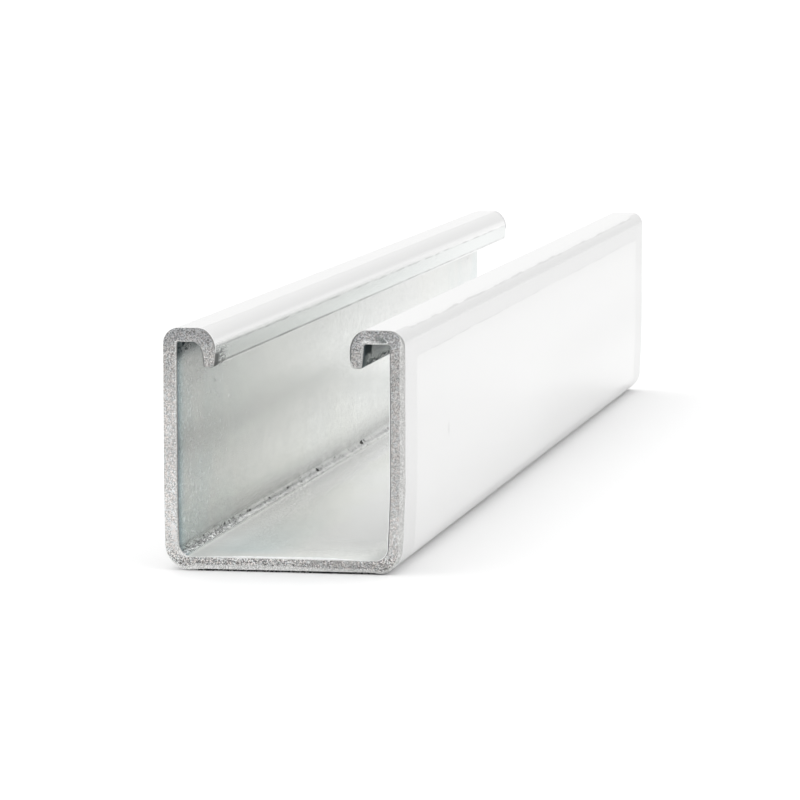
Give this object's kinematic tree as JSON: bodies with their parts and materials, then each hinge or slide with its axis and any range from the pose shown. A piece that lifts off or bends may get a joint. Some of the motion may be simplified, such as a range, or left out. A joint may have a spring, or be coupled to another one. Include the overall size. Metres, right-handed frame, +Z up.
{
  "type": "strut channel",
  "caption": "Solid-back C-section aluminium strut channel with in-turned lips along its open side and square saw-cut ends.",
  "frame": {"origin": "bottom centre of the channel, on the outside of its web, midway along its length and width", "axes": "+Z up out of the open side, +Y along the length, +X across the width from the left wall to the right wall"},
  "size_m": [0.0412, 0.3048, 0.0413],
  "materials": {
    "mill_aluminium": "mill finish with satin sheen, sanded saw cuts at the ends"
  },
  "bodies": {
    "root": {"strut_channel": "mill_aluminium"}
  },
  "joints": []
}
